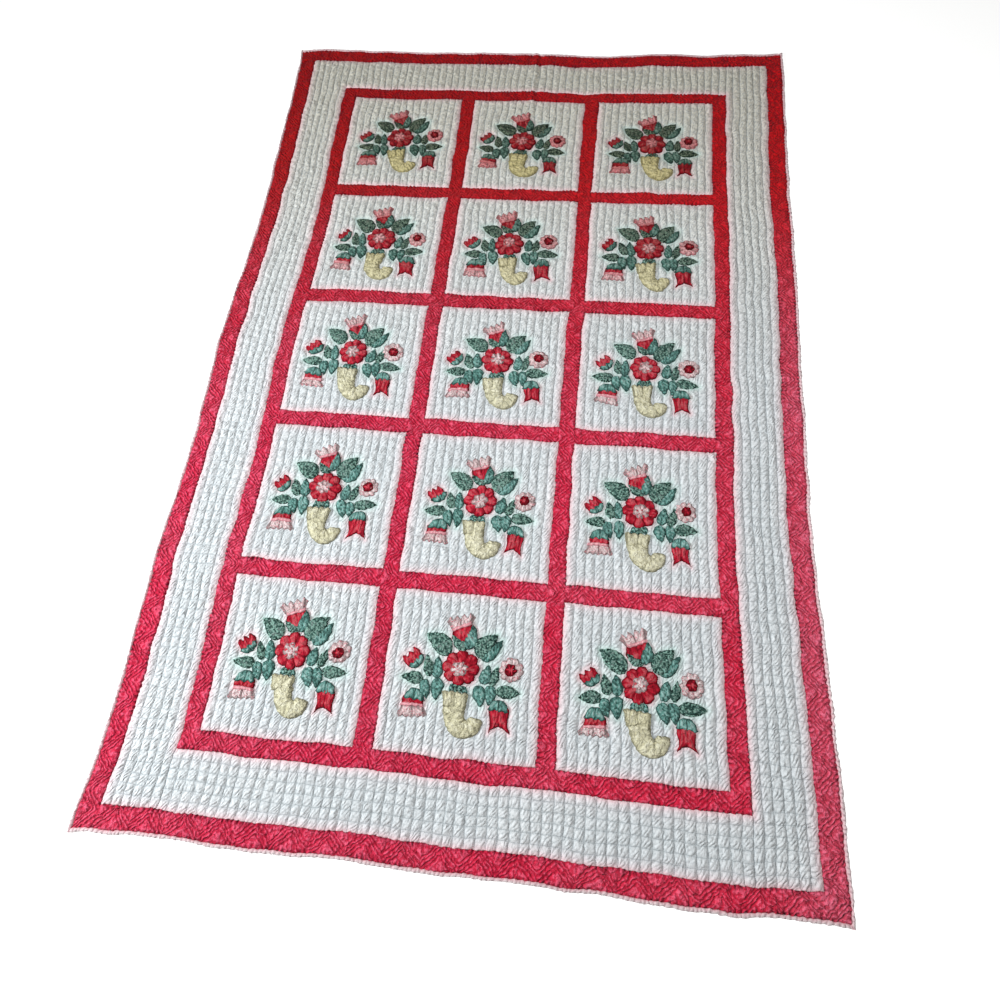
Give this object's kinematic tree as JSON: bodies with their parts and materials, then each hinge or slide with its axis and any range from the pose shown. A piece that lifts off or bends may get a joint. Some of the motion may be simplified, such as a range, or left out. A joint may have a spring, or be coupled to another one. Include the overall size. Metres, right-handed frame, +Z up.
{
  "type": "applique quilt",
  "caption": "Flat cotton bed quilt: white blocks with applique bouquets, red strips between them, white and red borders, channel and zigzag quilting, rolled binding.",
  "frame": {"origin": "centre of the quilt's outline, on the surface it lies on", "axes": "+X across the quilt, +Y up its length towards the head end, +Z up out of the quilt's face"},
  "size_m": [1.5716, 2.3556, 0.009],
  "materials": {
    "white_cotton": "matte, washed cotton",
    "red_cotton": "matte, washed cotton",
    "binding_cotton": "matte, washed cotton",
    "teal_cotton": "matte, washed cotton",
    "green_print_cotton": "matte, small print",
    "pink_print_cotton": "matte, small print",
    "yellow_print_cotton": "matte, small print",
    "rose_red_cotton": "matte, washed cotton"
  },
  "bodies": {
    "root": {"block_r1c1": "white_cotton", "block_r1c2": "white_cotton", "block_r1c3": "white_cotton", "block_r2c1": "white_cotton", "block_r2c2": "white_cotton", "block_r2c3": "white_cotton", "block_r3c1": "white_cotton", "block_r3c2": "white_cotton", "block_r3c3": "white_cotton", "block_r4c1": "white_cotton", "block_r4c2": "white_cotton", "block_r4c3": "white_cotton", "block_r5c1": "white_cotton", "block_r5c2": "white_cotton", "block_r5c3": "white_cotton", "white_border_left": "white_cotton", "white_border_right": "white_cotton", "white_border_head": "white_cotton", "white_border_foot": "white_cotton", "strip_r1c1": "red_cotton", "strip_r1c2": "red_cotton", "strip_r1c3": "red_cotton", "strip_r2c1": "red_cotton", "strip_r2c2": "red_cotton", "strip_r2c3": "red_cotton", "strip_r3c1": "red_cotton", "strip_r3c2": "red_cotton", "strip_r3c3": "red_cotton", "strip_r4c1": "red_cotton", "strip_r4c2": "red_cotton", "strip_r4c3": "red_cotton", "strip_long_1": "red_cotton", "strip_long_2": "red_cotton", "strip_long_3": "red_cotton", "strip_long_4": "red_cotton", "strip_head": "red_cotton", "strip_foot": "red_cotton", "red_border_left": "red_cotton", "red_border_right": "red_cotton", "red_border_head": "red_cotton", "red_border_foot": "red_cotton", "binding_left": "binding_cotton", "binding_right": "binding_cotton", "binding_head": "binding_cotton", "binding_foot": "binding_cotton", "bouquet_r1c1": "teal_cotton", "bouquet_r1c2": "teal_cotton", "bouquet_r1c3": "teal_cotton", "bouquet_r2c1": "teal_cotton", "bouquet_r2c2": "teal_cotton", "bouquet_r2c3": "teal_cotton", "bouquet_r3c1": "teal_cotton", "bouquet_r3c2": "teal_cotton", "bouquet_r3c3": "teal_cotton", "bouquet_r4c1": "teal_cotton", "bouquet_r4c2": "teal_cotton", "bouquet_r4c3": "teal_cotton", "bouquet_r5c1": "teal_cotton", "bouquet_r5c2": "teal_cotton", "bouquet_r5c3": "teal_cotton"}
  },
  "joints": []
}
